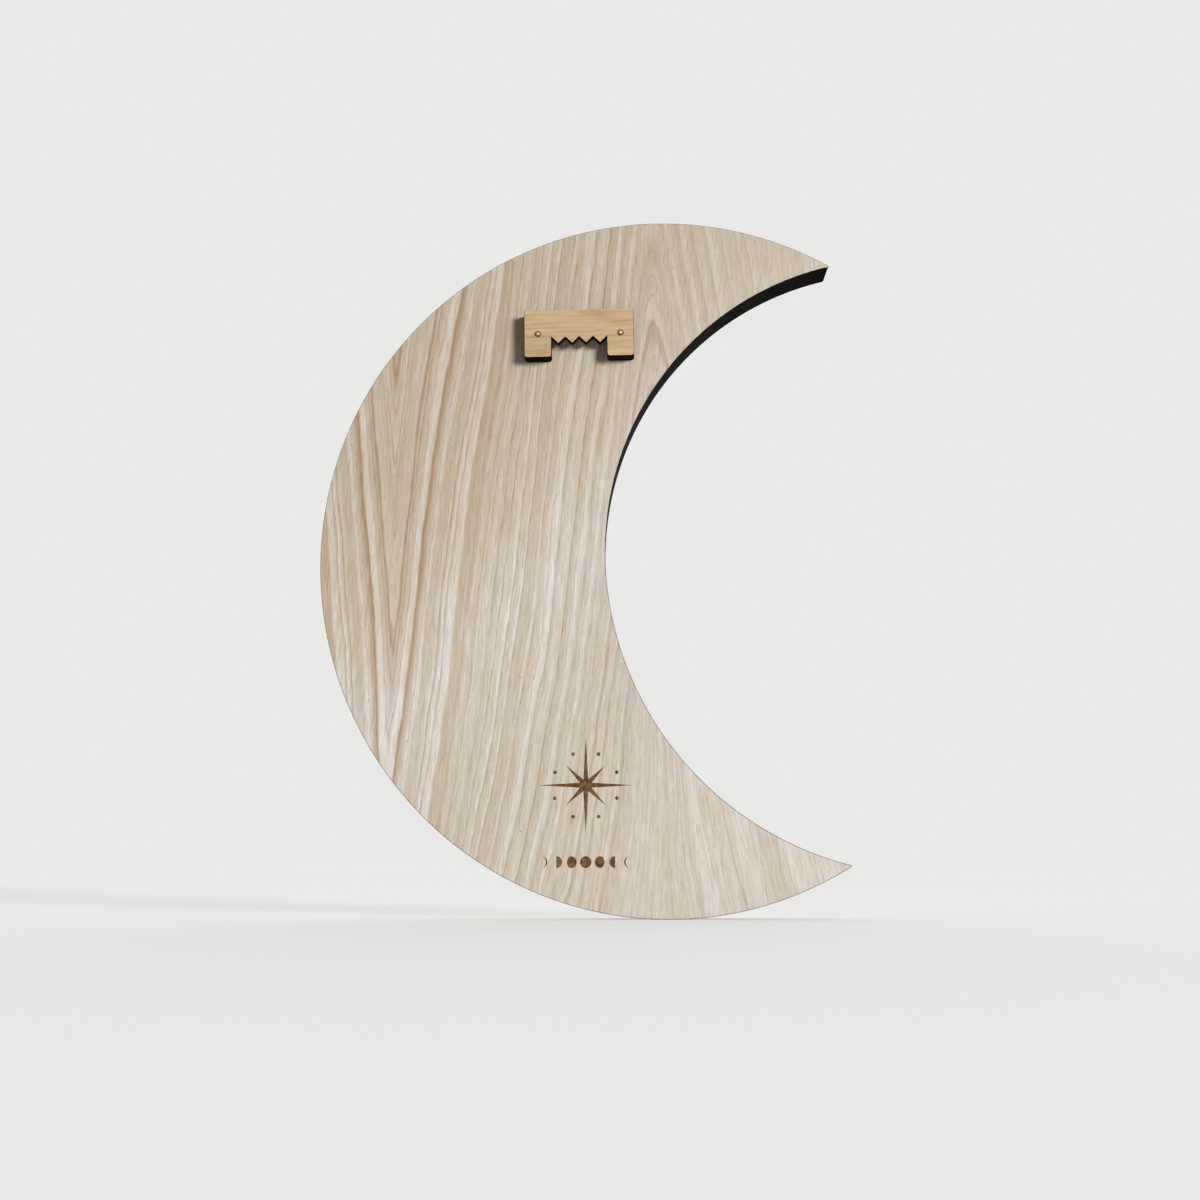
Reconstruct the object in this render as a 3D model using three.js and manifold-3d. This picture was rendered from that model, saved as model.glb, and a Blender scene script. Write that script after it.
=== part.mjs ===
// A crescent moon panel for a wall: a veneered board cut to two arcs, with a wooden
// sawtooth hanger of two layers held on its back by two small pins.
//
// Millimetres, +Z up. The origin is the nail's seat: the apex of the hanger's middle
// notch, on the hanger's outer face. The wall lies on the -Y side of the panel,
// the decorated side looks along +Y, and the moon's horns point along +X.

import * as THREE from "three";
import { mergeVertices } from "three/addons/utils/BufferGeometryUtils.js";
import Module from "manifold-3d";

// The board: one circle taken out of another, and the outline then narrowed a little.
const discRadius = 150; // the moon is 300 mm tall
const bayRadius = 132.5; // the circle that takes the bay out of the disc
const bayOffset = 106.5; // how far that circle's centre lies from the disc's centre
const tipRadius = 0.4; // the horns' points, rounded so that they don't splinter
const widthShare = 0.967; // what is left of the outline's width after the narrowing
const coreThickness = 13.8; // fibreboard
const veneerThickness = 0.6; // oak, on each face of the core

// The hanger, a flat wooden bar with a tab at each end and teeth between the tabs. It is
// cut from thin sheet in two layers: the toothed plate, and a spacer behind it that has
// no teeth, so that a nail's head finds room between the teeth and the board.
// Heights are counted from the notch line, where the tops of the notches lie.
const plateThickness = 3;
const spacerThickness = 3;
const toothCount = 4;
const toothPitch = 6;
const toothDepth = 3;
const toothTipRadius = 0.25;
const tabWidth = 11.6;
const tabDrop = 9.1; // from the notch line down to the foot of each tab
const tabCornerRadius = 1.2;
const barHeight = 12.3; // from the notch line up to the hanger's top edge
const barCornerRadius = 0.4;
const headRoom = 3.5; // from the notch line up to the top of the spacer's window
const windowCornerRadius = 1;
const hangerTilt = 1; // degrees off level: it was set by hand

// Where the seat lies on the moon.
const seatBelowTop = 55.6; // down from the level of the moon's top
const seatLeftOfCentre = 36.2; // of the disc

// The pins, driven through the hanger and the veneer into the core.
const pinAboveNotches = 1.4; // each pin is centred over a tab
const pinShankRadius = 0.6;
const pinHeadRadius = 1.15;
const pinHeadHeight = 0.6;
const pinBite = 5.4; // how deep the shank goes into the core
const pinPointLength = 1.5;
const pinHoleClearance = 0.1; // all round the shank
const pinHoleEndClearance = 0.3; // past the point

// Facets.
const arcSagitta = 0.01; // the most that a facet strays from its arc
const turnedSides = 24;
const domeSteps = 6;

// Derived sizes that more than one piece uses. Y runs from the wall into the panel.
const hangerThickness = plateThickness + spacerThickness;
const backVeneerNear = hangerThickness;
const coreNear = backVeneerNear + veneerThickness;
const frontVeneerNear = coreNear + coreThickness;
const windowWidth = toothCount * toothPitch;
const windowLeft = -Math.floor(toothCount / 2) * toothPitch; // puts a notch at x = 0
const windowRight = windowLeft + windowWidth;
const hangerLeft = windowLeft - tabWidth;
const hangerRight = windowRight + tabWidth;
const pinLength = hangerThickness + veneerThickness + pinBite;
const pinHoleRadius = pinShankRadius + pinHoleClearance;
const tiltTurn = new THREE.Euler(0, -THREE.MathUtils.degToRad(hangerTilt), 0);
const pinPlaces = [hangerLeft + tabWidth / 2, hangerRight - tabWidth / 2].map(
  (x) => new THREE.Vector3(x, 0, pinAboveNotches),
);
const discCentre = new THREE.Vector3(seatLeftOfCentre, 0, seatBelowTop - discRadius);

const wasm = await Module();
wasm.setup();

// A closed geometry as a solid that can be cut.
function solidOf(geometry) {
  const bare = geometry.index ? geometry.toNonIndexed() : geometry.clone();
  bare.deleteAttribute("normal");
  bare.deleteAttribute("uv");
  const merged = mergeVertices(bare, 1e-4);
  return new wasm.Manifold(
    new wasm.Mesh({
      numProp: 3,
      vertProperties: merged.attributes.position.array,
      triVerts: new Uint32Array(merged.index.array),
    }),
  );
}

function geometryOf(solid) {
  const mesh = solid.getMesh();
  const geometry = new THREE.BufferGeometry();
  geometry.setAttribute("position", new THREE.BufferAttribute(mesh.vertProperties, 3));
  geometry.setIndex(new THREE.BufferAttribute(mesh.triVerts, 1));
  geometry.computeVertexNormals();
  return geometry;
}

// Points along an arc, both ends included. A chord over a small angle strays from its
// arc by radius * angle² / 8, which sets the step.
function arcPoints(centre, radius, from, to) {
  const step = Math.sqrt((8 * arcSagitta) / radius);
  const count = Math.ceil(Math.abs(to - from) / step);
  return Array.from({ length: count + 1 }, (_, i) => {
    const angle = from + ((to - from) * i) / count;
    return new THREE.Vector2(
      centre.x + radius * Math.cos(angle),
      centre.y + radius * Math.sin(angle),
    );
  });
}

// A polygon whose corners are rounded, each by its own radius: [x, y, radius].
function roundedOutline(corners) {
  const at = (i) => corners[(i + corners.length) % corners.length];
  return corners.flatMap(([x, y, radius], i) => {
    const corner = new THREE.Vector2(x, y);
    if (!radius) return [corner];
    const back = new THREE.Vector2(...at(i - 1)).sub(corner);
    const ahead = new THREE.Vector2(...at(i + 1)).sub(corner);
    const half = Math.acos(back.dot(ahead) / (back.length() * ahead.length())) / 2;
    const reach = Math.min(radius / Math.tan(half), back.length() / 2, ahead.length() / 2);
    const fillet = reach * Math.tan(half);
    const inwards = back.clone().normalize().add(ahead.clone().normalize()).normalize();
    const centre = corner.clone().addScaledVector(inwards, fillet / Math.sin(half));
    const start = corner.clone().addScaledVector(back.normalize(), reach).sub(centre).angle();
    const end = corner.clone().addScaledVector(ahead.normalize(), reach).sub(centre).angle();
    const sweep = THREE.MathUtils.euclideanModulo(end - start + Math.PI, 2 * Math.PI) - Math.PI;
    return arcPoints(centre, fillet, start, start + sweep);
  });
}

// The moon's outline about the disc's centre: the outer arc, a horn's point, the bay's
// arc and the other point. Each point's circle touches both arcs from inside the wood,
// and the narrowing comes last, so that all four still meet without a kink.
function crescentOutline() {
  const disc = new THREE.Vector2(0, 0);
  const bay = new THREE.Vector2(bayOffset, 0);
  const toTip = discRadius - tipRadius;
  const bayToTip = bayRadius + tipRadius;
  const tipX = (toTip ** 2 - bayToTip ** 2 + bayOffset ** 2) / (2 * bayOffset);
  const tipY = Math.sqrt(toTip ** 2 - tipX ** 2);
  const upper = new THREE.Vector2(tipX, tipY);
  const lower = new THREE.Vector2(tipX, -tipY);
  const outerTurn = Math.atan2(tipY, tipX);
  const bayTurn = Math.atan2(tipY, tipX - bayOffset);
  const full = 2 * Math.PI;
  return [
    ...arcPoints(disc, discRadius, outerTurn, full - outerTurn).slice(1),
    ...arcPoints(lower, tipRadius, -outerTurn, Math.PI - bayTurn).slice(1),
    ...arcPoints(bay, bayRadius, full - bayTurn, bayTurn).slice(1),
    ...arcPoints(upper, tipRadius, bayTurn - Math.PI, outerTurn).slice(1),
  ].map((point) => new THREE.Vector2(point.x * widthShare, point.y));
}

function pinHoleOutline({ x, z }) {
  return arcPoints({ x, y: z }, pinHoleRadius, 0, 2 * Math.PI).slice(1);
}

// The outlines of the pins' holes, where they fall on the board.
function boardPinHoles() {
  return pinPlaces.map((place) =>
    pinHoleOutline(place.clone().applyEuler(tiltTurn).sub(discCentre)),
  );
}

// A flat piece drawn in X and Z, from `near` to `near + thickness` along Y.
function flatPiece(outline, holes, near, thickness) {
  const shape = new THREE.Shape(outline);
  shape.holes.push(...holes.map((hole) => new THREE.Path(hole)));
  const geometry = new THREE.ExtrudeGeometry(shape, { depth: thickness, bevelEnabled: false });
  return geometry.rotateX(Math.PI / 2).translate(0, near + thickness, 0);
}

function backVeneer() {
  return flatPiece(crescentOutline(), boardPinHoles(), backVeneerNear, veneerThickness);
}

function frontVeneer() {
  return flatPiece(crescentOutline(), [], frontVeneerNear, veneerThickness);
}

// The core, with a blind hole for each pin, bored through the back veneer.
function boardCore() {
  const blank = solidOf(flatPiece(crescentOutline(), [], coreNear, coreThickness));
  const depth = veneerThickness + pinBite + pinHoleEndClearance;
  const drills = boardPinHoles().map((hole) => flatPiece(hole, [], backVeneerNear, depth));
  return geometryOf(drills.reduce((core, drill) => core.subtract(solidOf(drill)), blank));
}

// The toothed lower edge between the tabs, from left to right: a notch at each end,
// at each tab's inner wall, and a tooth between every two notches.
function toothedEdge() {
  const corners = [[windowLeft, 0, 0]];
  for (let i = 0; i < toothCount; i += 1) {
    const notch = windowLeft + i * toothPitch;
    corners.push([notch + toothPitch / 2, -toothDepth, toothTipRadius]);
    corners.push([notch + toothPitch, 0, 0]);
  }
  return corners;
}

// A layer of the hanger. Both have the same bar and tabs, and differ in the lower edge
// that runs from one tab's inner wall to the other's.
function hangerLayer(lowerEdge, near, thickness) {
  const outline = roundedOutline([
    [hangerLeft, barHeight, barCornerRadius],
    [hangerLeft, -tabDrop, tabCornerRadius],
    [windowLeft, -tabDrop, tabCornerRadius],
    ...lowerEdge,
    [windowRight, -tabDrop, tabCornerRadius],
    [hangerRight, -tabDrop, tabCornerRadius],
    [hangerRight, barHeight, barCornerRadius],
  ]);
  return flatPiece(outline, pinPlaces.map(pinHoleOutline), near, thickness);
}

function sawtoothPlate() {
  return hangerLayer(toothedEdge(), 0, plateThickness);
}

function hangerSpacer() {
  const windowTop = [
    [windowLeft, headRoom, windowCornerRadius],
    [windowRight, headRoom, windowCornerRadius],
  ];
  return hangerLayer(windowTop, plateThickness, spacerThickness);
}

// A domed pin along Y, its head's flat underside on the hanger's outer face.
function hangerPin() {
  const dome = Array.from({ length: domeSteps + 1 }, (_, i) => {
    const angle = (Math.PI / 2) * (i / domeSteps);
    return new THREE.Vector2(
      pinHeadRadius * Math.sin(angle),
      -pinHeadHeight * Math.cos(angle),
    );
  });
  const shank = [
    new THREE.Vector2(pinShankRadius, 0),
    new THREE.Vector2(pinShankRadius, pinLength - pinPointLength),
    new THREE.Vector2(0, pinLength),
  ];
  return new THREE.LatheGeometry([...dome, ...shank], turnedSides);
}

function piece(name, geometry, material) {
  const mesh = new THREE.Mesh(geometry, material);
  mesh.name = name;
  return mesh;
}

const oakVeneer = new THREE.MeshStandardMaterial({ color: 0xd0c3b3, roughness: 0.6 });
const scorchedCore = new THREE.MeshStandardMaterial({ color: 0x14110f, roughness: 0.85 });
const hangerWood = new THREE.MeshStandardMaterial({ color: 0xc7aa83, roughness: 0.6 });
const pinBrass = new THREE.MeshStandardMaterial({ color: 0xd3b58a, roughness: 0.3, metalness: 1 });

const board = new THREE.Group();
board.position.copy(discCentre);
board.add(
  piece("back_veneer", backVeneer(), oakVeneer),
  piece("board_core", boardCore(), scorchedCore),
  piece("front_veneer", frontVeneer(), oakVeneer),
);

const hanger = new THREE.Group();
hanger.rotation.copy(tiltTurn);
hanger.add(
  piece("sawtooth_hanger", sawtoothPlate(), hangerWood),
  piece("hanger_spacer", hangerSpacer(), hangerWood),
);
["left", "right"].forEach((side, i) => {
  const pin = piece(`hanger_pin_${side}`, hangerPin(), pinBrass);
  pin.position.copy(pinPlaces[i]);
  hanger.add(pin);
});

const moon = new THREE.Group();
moon.add(board, hanger);

export default moon;
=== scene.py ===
# %% [markdown]
# # A crescent moon for the wall, seen from its back
#
# The object is a laser-cut moon panel: a fibreboard core with an oak veneer on each face,
# a wooden sawtooth hanger in two layers, and two domed pins that hold the hanger. The
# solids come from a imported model, in metres, with +Z up and the wall on the -Y side. This
# script dresses them: it makes finer meshes with softened edges and gives each one its
# real finish.

# %% Load the frame
import math

import bmesh
import bpy
from mathutils import Euler, Matrix, Vector


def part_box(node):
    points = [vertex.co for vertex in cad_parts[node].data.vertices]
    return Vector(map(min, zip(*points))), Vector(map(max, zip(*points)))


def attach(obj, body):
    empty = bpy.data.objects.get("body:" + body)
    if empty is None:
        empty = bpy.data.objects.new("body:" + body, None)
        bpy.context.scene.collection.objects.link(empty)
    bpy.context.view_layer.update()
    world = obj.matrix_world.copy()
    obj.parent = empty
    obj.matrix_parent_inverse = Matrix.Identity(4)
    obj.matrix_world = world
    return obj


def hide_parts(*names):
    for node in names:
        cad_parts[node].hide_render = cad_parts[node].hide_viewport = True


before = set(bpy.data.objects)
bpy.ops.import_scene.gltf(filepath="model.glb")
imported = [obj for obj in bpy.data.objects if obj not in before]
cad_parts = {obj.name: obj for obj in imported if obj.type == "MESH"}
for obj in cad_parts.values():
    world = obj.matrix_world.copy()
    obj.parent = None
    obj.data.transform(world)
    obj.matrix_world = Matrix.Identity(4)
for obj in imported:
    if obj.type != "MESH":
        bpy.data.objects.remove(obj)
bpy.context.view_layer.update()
MM = 0.001
CM = 0.01

# %% [markdown]
# ## Sizes
#
# A few driving sizes describe the outlines, and the rest is read off the frame, so that
# the dressed pieces always lie where the solids are. All of them are in millimetres.

# %% Driving sizes
BAY_RADIUS = 132.5
BAY_OFFSET = 106.5
TIP_RADIUS = 0.4
WIDTH_SHARE = 0.967  # the outline is drawn with true arcs, then narrowed a little

HANGER_TILT = 1.0
TOOTH_COUNT = 4
TOOTH_PITCH = 6.0
TOOTH_DEPTH = 3.0
TOOTH_TIP_RADIUS = 0.25
TAB_WIDTH = 11.6
TAB_DROP = 9.1
TAB_CORNER_RADIUS = 1.2
BAR_HEIGHT = 12.3
BAR_CORNER_RADIUS = 0.4
HEAD_ROOM = 3.5  # how far the layer behind the teeth stands back above the notches
WINDOW_CORNER_RADIUS = 1.0
WINDOW_WIDTH = TOOTH_PITCH * TOOTH_COUNT

PIN_ABOVE_NOTCHES = 1.4
PIN_SHANK_RADIUS = 0.6
PIN_HOLE_RADIUS = 0.7
PIN_HOLE_END = 0.3
PIN_HEAD_RADIUS = 1.15
PIN_POINT_LENGTH = 1.5


def layer(node):
    """The depths in mm at which a node's two flat faces lie: (near the wall, far from it)."""
    low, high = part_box(node)
    return low.y / MM, high.y / MM


core_low, core_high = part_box("board_core")
DISC_RADIUS = (core_high.z - core_low.z) / 2 / MM
DISC_X = core_low.x / MM + DISC_RADIUS * WIDTH_SHARE
DISC_Z = (core_low.z + core_high.z) / 2 / MM
print(f"disc radius {DISC_RADIUS:.1f}, centre x {DISC_X:.1f}, z {DISC_Z:.1f}")

# %% [markdown]
# ## Camera
#
# The camera stands low in front of the panel's back and looks up a little, as at a panel
# that leans back. It is half a metre away, and its lens sees 50 degrees each way.

# %% Camera
CAMERA_PLACE = Vector((12.65, -525.96, -222.26)) * MM
CAMERA_AIM = Vector((8.79, 6.0, -114.63)) * MM
CAMERA_ROLL = 0.083
CAMERA_LENS = 39.0
SENSOR_WIDTH = 36.0
NEAREST_SEEN = 5.0

camera_data = bpy.data.cameras.new("camera")
camera_data.sensor_width = SENSOR_WIDTH
camera_data.lens = CAMERA_LENS
camera_data.clip_start = NEAREST_SEEN * MM
camera = bpy.data.objects.new("camera", camera_data)
bpy.context.scene.collection.objects.link(camera)
camera.location = CAMERA_PLACE
looking = (CAMERA_AIM - CAMERA_PLACE).to_track_quat("-Z", "Y")
camera.rotation_euler = (looking @ Euler((0, 0, math.radians(-CAMERA_ROLL))).to_quaternion()).to_euler()
bpy.context.scene.camera = camera
print("camera looks up by", round(math.degrees(math.asin((CAMERA_AIM - CAMERA_PLACE).normalized().z)), 1))

# %% [markdown]
# ## Two small helpers
#
# Colours are written as sRGB hex, as a colour picker shows them, and Blender's sockets
# want linear values. Every tree below, for light, finish or shape, is built with one
# helper that adds a node, so a tree reads like a list of steps.

# %% Helpers for colours and nodes


def to_linear(hex_colour):
    """Turns an sRGB hex colour into the linear colour with alpha that Blender's sockets take."""
    channels = [int(hex_colour[i:i + 2], 16) / 255 for i in (0, 2, 4)]
    linear = [c / 12.92 if c <= 0.04045 else ((c + 0.055) / 1.055) ** 2.4 for c in channels]
    return (*linear, 1.0)


def add(tree, kind, inputs=(), stops=(), **settings):
    """Adds a node with its settings and links. inputs gives its sockets by order or by name:
    a node there stands for its first output, a list is several links, and None is left alone.
    stops are a colour ramp's, as (position, hex colour)."""
    node = tree.nodes.new(kind)
    for name, value in settings.items():
        setattr(node, name, value)
    for i, (position, colour) in enumerate(stops):
        elements = node.color_ramp.elements
        stop = elements[i] if i < len(elements) else elements.new(position)
        stop.position = position
        stop.color = to_linear(colour)
    usable = [socket for socket in node.inputs if socket.enabled]
    named = {socket.name: socket for socket in usable}
    for key, value in inputs.items() if isinstance(inputs, dict) else enumerate(inputs):
        socket = named[key] if isinstance(key, str) else usable[key]
        for source in value if isinstance(value, list) else [value]:
            if isinstance(source, bpy.types.Node):
                source = next(output for output in source.outputs if output.enabled)
            if isinstance(source, bpy.types.NodeSocket):
                tree.links.new(source, socket)
            elif source is not None:
                socket.default_value = source
    return node


print("an example, mid grey in linear light:", round(to_linear("808080")[0], 3))

# %% [markdown]
# ## Light
#
# The main light comes from a large soft window, to the right of the camera and a little
# above it, so the hanger throws a short blurred shadow to the left. The window is far
# away, so a sun lamp as wide as the window looks stands for it: its light is the same
# everywhere. A pale world fills the rest. None of it comes from straight behind the
# camera, where the window does the work and the shadows should be deep, and the further
# round the panel, the more there is, with the square of a ramp. So on the back and the
# front alike the light adds up to what brings white paper just to white, and a colour
# comes out as it is written.

# %% Light and world
KEY_DIRECTION = Vector((870, -900, 200))  # from the object towards the window
KEY_WIDTH = math.radians(20)
KEY_STRENGTH = 3.54
FILL_STRENGTH = 0.55  # from the side, and four times that from straight behind the panel
FILL_MEAN = 1.25  # what the squared ramp comes to on a level sheet
FLOOR_COLOUR = "AAA9A7"
FLOOR_GLOW = 0.47  # added for the camera alone, so the paper is pale and keeps its shadows

key_data = bpy.data.lights.new("key", "SUN")
key_data.angle = KEY_WIDTH
key_data.energy = KEY_STRENGTH
key = bpy.data.objects.new("key", key_data)
bpy.context.scene.collection.objects.link(key)
key.location = KEY_DIRECTION * MM
key.rotation_euler = (-KEY_DIRECTION).to_track_quat("-Z", "Y").to_euler()

# The open floor gets the fill and the key, and shows its own colour under both, plus the
# glow. The backdrop gets the same sum, so no horizon shows.
floor_light = FILL_STRENGTH * FILL_MEAN + KEY_STRENGTH / math.pi * KEY_DIRECTION.normalized().z
backdrop_colour = [c * floor_light + FLOOR_GLOW for c in to_linear(FLOOR_COLOUR)[:3]]
world = bpy.data.worlds.new("studio")
bpy.context.scene.world = world
world.use_nodes = True
sky = world.node_tree
sky.nodes.clear()


def seen_directly(tree):
    """1 for what the camera sees straight, in a reflection or through glass, otherwise 0."""
    path = add(tree, "ShaderNodeLightPath").outputs
    seen = add(tree, "ShaderNodeMath", [path["Is Camera Ray"], path["Is Glossy Ray"]], operation="MAXIMUM")
    return add(tree, "ShaderNodeMath", [seen, path["Is Transmission Ray"]], operation="MAXIMUM")


towards = add(sky, "ShaderNodeTexCoord").outputs["Generated"]
direction = add(sky, "ShaderNodeSeparateXYZ", [towards]).outputs["Y"]
ramp = add(sky, "ShaderNodeMath", [direction, 1.0], operation="ADD")
square = add(sky, "ShaderNodeMath", [ramp, ramp], operation="MULTIPLY")
strength = add(sky, "ShaderNodeMath", [square, FILL_STRENGTH], operation="MULTIPLY")
fill = add(sky, "ShaderNodeBackground", [to_linear("FFFFFF"), strength])
backdrop = add(sky, "ShaderNodeBackground", [(*backdrop_colour, 1.0), 1.0])
mixed = add(sky, "ShaderNodeMixShader", [seen_directly(sky), fill, backdrop])
add(sky, "ShaderNodeOutputWorld", [mixed])
bpy.context.scene.view_settings.view_transform = "Standard"
print("light on the open floor", round(floor_light, 2), "backdrop", [round(c, 2) for c in backdrop_colour])

# %% [markdown]
# ## Floor
#
# The moon stands on the lowest point of its outer arc. The floor is a plain pale sheet,
# wide enough that its far edge is lost in the pale world behind it.

# %% Floor
FLOOR_SIDE = 6.0

floor_mesh = bpy.data.meshes.new("floor")
half = FLOOR_SIDE / 2
floor_z = core_low.z
corners = [(-half, -half, floor_z), (half, -half, floor_z), (half, half, floor_z), (-half, half, floor_z)]
floor_mesh.from_pydata(corners, [], [(0, 1, 2, 3)])
floor = bpy.data.objects.new("floor", floor_mesh)
bpy.context.scene.collection.objects.link(floor)

floor_paint = bpy.data.materials.new("matt_studio_paper")
floor_paint.use_nodes = True
sheet = floor_paint.node_tree
paper = sheet.nodes["Principled BSDF"]
paper.inputs["Base Color"].default_value = to_linear(FLOOR_COLOUR)
paper.inputs["Roughness"].default_value = 1.0
paper.inputs["Specular IOR Level"].default_value = 0.0
strength = add(sheet, "ShaderNodeMath", [seen_directly(sheet), FLOOR_GLOW], operation="MULTIPLY")
glow = add(sheet, "ShaderNodeEmission", [to_linear("FFFFFF"), strength])
both = add(sheet, "ShaderNodeAddShader", [paper, glow])
sheet.links.new(both.outputs[0], sheet.nodes["Material Output"].inputs["Surface"])
floor_mesh.materials.append(floor_paint)
print("floor at", round(floor_z / MM, 1), "mm")

# %% [markdown]
# ## Scorched edges
#
# A laser cuts fibreboard by burning it, so the cut edge is a skin of charcoal, nearly
# black, with very fine flutes that run straight through the board's thickness. A flute is
# about a third of a millimetre wide. A little gloss is left in the soot, so it isn't dead
# flat. Two helpers start and end every material, because the steps there repeat.

# %% Scorched edge material
FLUTE_WIDTH = 0.35
FLUTE_LENGTH = 50.0  # more than the board's thickness, so a flute runs right through it
SOOT_PATCH = 9.0


def new_material(name):
    """A material with its tree, its shader, and the point being shaded in mm of the object."""
    material = bpy.data.materials.new(name)
    material.use_nodes = True
    tree = material.node_tree
    place = add(tree, "ShaderNodeTexCoord").outputs["Object"]
    place = add(tree, "ShaderNodeVectorMath", {0: place, "Scale": 1 / MM}, operation="SCALE")
    return material, tree, tree.nodes["Principled BSDF"], place


def coat(tree, surface, colour, relief, strength, depth, roughness, gloss):
    """Gives a shader its colour, a relief of some depth in mm, its roughness and its gloss."""
    bump = add(tree, "ShaderNodeBump", {"Height": relief, "Strength": strength, "Distance": depth * MM})
    tree.links.new(colour, surface.inputs["Base Color"])
    tree.links.new(bump.outputs[0], surface.inputs["Normal"])
    surface.inputs["Roughness"].default_value = roughness
    surface.inputs["Specular IOR Level"].default_value = gloss


def scorched_edge(name, dark, light):
    material, tree, surface, place = new_material(name)
    # Stretched along Y, the noise turns into flutes through the thickness.
    stretch = (1 / FLUTE_WIDTH, 1 / FLUTE_LENGTH, 1 / FLUTE_WIDTH)
    along = add(tree, "ShaderNodeMapping", {"Vector": place, "Scale": stretch})
    flutes = add(tree, "ShaderNodeTexNoise", {"Vector": along, "Scale": 1.0, "Detail": 2.0}).outputs["Fac"]
    patches = add(tree, "ShaderNodeTexNoise", {"Vector": place, "Scale": 1 / SOOT_PATCH, "Detail": 3.0})
    soot = add(tree, "ShaderNodeMath", [patches.outputs["Fac"], flutes], operation="MULTIPLY")
    colour = add(tree, "ShaderNodeValToRGB", [soot], stops=[(0.12, dark), (0.5, light)])
    coat(tree, surface, colour.outputs[0], flutes, strength=0.5, depth=0.05, roughness=0.85, gloss=0.04)
    return material


edge_scorch = scorched_edge("laser_scorched_fibreboard_edge", "040303", "1E1813")
print("made", edge_scorch.name)

# %% [markdown]
# ## Oak veneer
#
# The veneer is plain-sawn: the saw runs beside the heart of the log, so the growth rings
# come out as nested arches. One set of arches points down near the left edge, another
# points up under the upper horn, and between them the rings lean steadily. A ring number
# that depends on the place says all of that: it rises along the board and falls away on
# both sides of an arch's axis. Its fraction is the place within one ring, where cream
# deepens to a brown line that is sharper on one side. The fibres lean less than the rings.

# %% Veneer figure
ARCH_DOWN_X = -114.3  # across from the disc's centre
ARCH_DOWN_WIDTH = 0.8
ARCH_UP_X = -3.0
ARCH_UP_WIDTH = 5.0
ARCH_UP_FADES = 60.0  # these arches begin so far below the disc's centre and are full so far above
AXIS_LEAN = 0.01
RING_WIDTH = 6.2
FIRST_RING = 3.0  # another number gives another sheet: it chooses the rings that come out bold
ARCH_LEAN = 0.09  # how far a ring leans beside the arches that point down: mm across per mm down
RINGS_LEAN = 0.125  # and how far to the right of them, LEAN_CHANGE mm from their axis
LEAN_CHANGE = 38.0
LEAN_GAIN = 0.0015  # how much more it leans there for each mm below GAIN_Z
GAIN_Z = -46.0
FAN_X = -4.0  # in the lower horn the rings spread to both sides of this place,
FAN_Z = -60.0  # and downwards from this height
FAN_WIDTH = 31.0
FAN_TOP = -40.0  # the spread begins at this height,
FAN_FULL = -90.0  # and from this one down it is full


def ring_number(tree, across, along):
    """Counts the growth rings up to a place, and says how far in mm the rings have leant
    there: across and along are mm from the disc's centre."""
    sums = []
    for axis, width in ((ARCH_UP_X, ARCH_UP_WIDTH), (ARCH_DOWN_X, ARCH_DOWN_WIDTH)):
        offset = add(tree, "ShaderNodeMath", [across, axis], operation="SUBTRACT")
        square = add(tree, "ShaderNodeMath", [offset, offset, width ** 2], operation="MULTIPLY_ADD")
        sums.append((offset, add(tree, "ShaderNodeMath", [square], operation="SQRT")))
    (offset, from_up), (_, from_down) = sums
    rising = add(tree, "ShaderNodeMath", [offset, from_up], operation="ADD")
    upper = add(tree, "ShaderNodeMapRange", [along, -ARCH_UP_FADES, ARCH_UP_FADES, 0.0, 1.0],
                interpolation_type="SMOOTHSTEP")
    rising = add(tree, "ShaderNodeMath", [rising, upper], operation="MULTIPLY")
    sideways = add(tree, "ShaderNodeMath", [rising, from_down], operation="SUBTRACT")

    # Leaning rings: they lean less beside the arches that point down and more towards the
    # bottom, and across the lower horn the lean turns over.
    change = add(tree, "ShaderNodeMapRange", [across, ARCH_DOWN_X, ARCH_DOWN_X + LEAN_CHANGE, 0.0, 1.0],
                 interpolation_type="SMOOTHSTEP")
    slope = add(tree, "ShaderNodeMath", [change, RINGS_LEAN - ARCH_LEAN, ARCH_LEAN],
                operation="MULTIPLY_ADD")
    height = add(tree, "ShaderNodeMath", [along, FAN_Z], operation="SUBTRACT")
    fall = add(tree, "ShaderNodeMath", [height, slope], operation="MULTIPLY")
    deeper = add(tree, "ShaderNodeMath", [along, GAIN_Z], operation="SUBTRACT")
    deeper = add(tree, "ShaderNodeMath", [deeper, 0.0], operation="MINIMUM")
    deeper = add(tree, "ShaderNodeMath", [deeper, deeper], operation="MULTIPLY")
    deeper = add(tree, "ShaderNodeMath", [deeper, change], operation="MULTIPLY")
    fall = add(tree, "ShaderNodeMath", [deeper, -LEAN_GAIN / 2, fall], operation="MULTIPLY_ADD")
    beside = add(tree, "ShaderNodeMath", [across, 1 / FAN_WIDTH, -FAN_X / FAN_WIDTH],
                 operation="MULTIPLY_ADD")
    spread = add(tree, "ShaderNodeMath", [beside], operation="TANH")
    spread = add(tree, "ShaderNodeMath", [spread, 1.0], operation="ADD")
    lower = add(tree, "ShaderNodeMapRange", [along, FAN_TOP, FAN_FULL, 0.0, 1.0],
                interpolation_type="SMOOTHSTEP")
    spread = add(tree, "ShaderNodeMath", [spread, lower], operation="MULTIPLY")
    spread = add(tree, "ShaderNodeMath", [1.0, spread], operation="SUBTRACT")
    lean = add(tree, "ShaderNodeMath", [fall, spread], operation="MULTIPLY")
    total = add(tree, "ShaderNodeMath", [lean, sideways], operation="ADD")
    ring = add(tree, "ShaderNodeMath", [total, 1 / RING_WIDTH, FIRST_RING], operation="MULTIPLY_ADD")
    return ring, lean


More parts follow.
